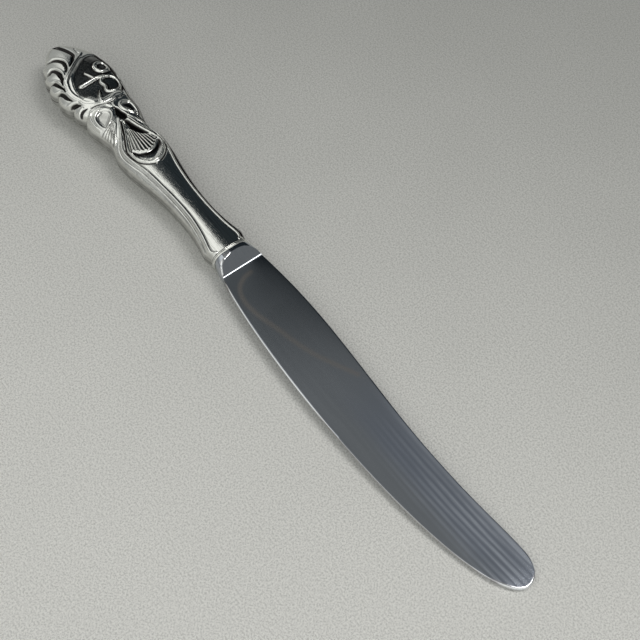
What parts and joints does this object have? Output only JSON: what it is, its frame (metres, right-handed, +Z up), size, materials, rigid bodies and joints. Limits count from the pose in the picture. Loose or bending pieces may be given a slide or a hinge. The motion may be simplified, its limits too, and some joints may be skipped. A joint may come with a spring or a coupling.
{
  "type": "fruit knife",
  "caption": "Small round-tipped table knife for fruit: a curved steel blade with a sloping facet at its bolster, set in a hollow silver handle with a lobed, relief-carved head.",
  "frame": {"origin": "centre of the knife's bounding box at table height, with the knife lying on its side", "axes": "+X runs from the head of the handle to the tip of the blade, +Y from the cutting edge to the back of the blade, +Z up from the table"},
  "size_m": [0.1702, 0.0168, 0.0104],
  "materials": {
    "silver": "polished, darkened in the recesses",
    "stainless": "fine lengthwise polish",
    "cement": "rough, hidden inside"
  },
  "bodies": {
    "root": {"handle_front_shell": "silver", "handle_back_shell": "silver", "mouth_cap": "silver", "cement_filler": "cement", "blade": "stainless"}
  },
  "joints": []
}
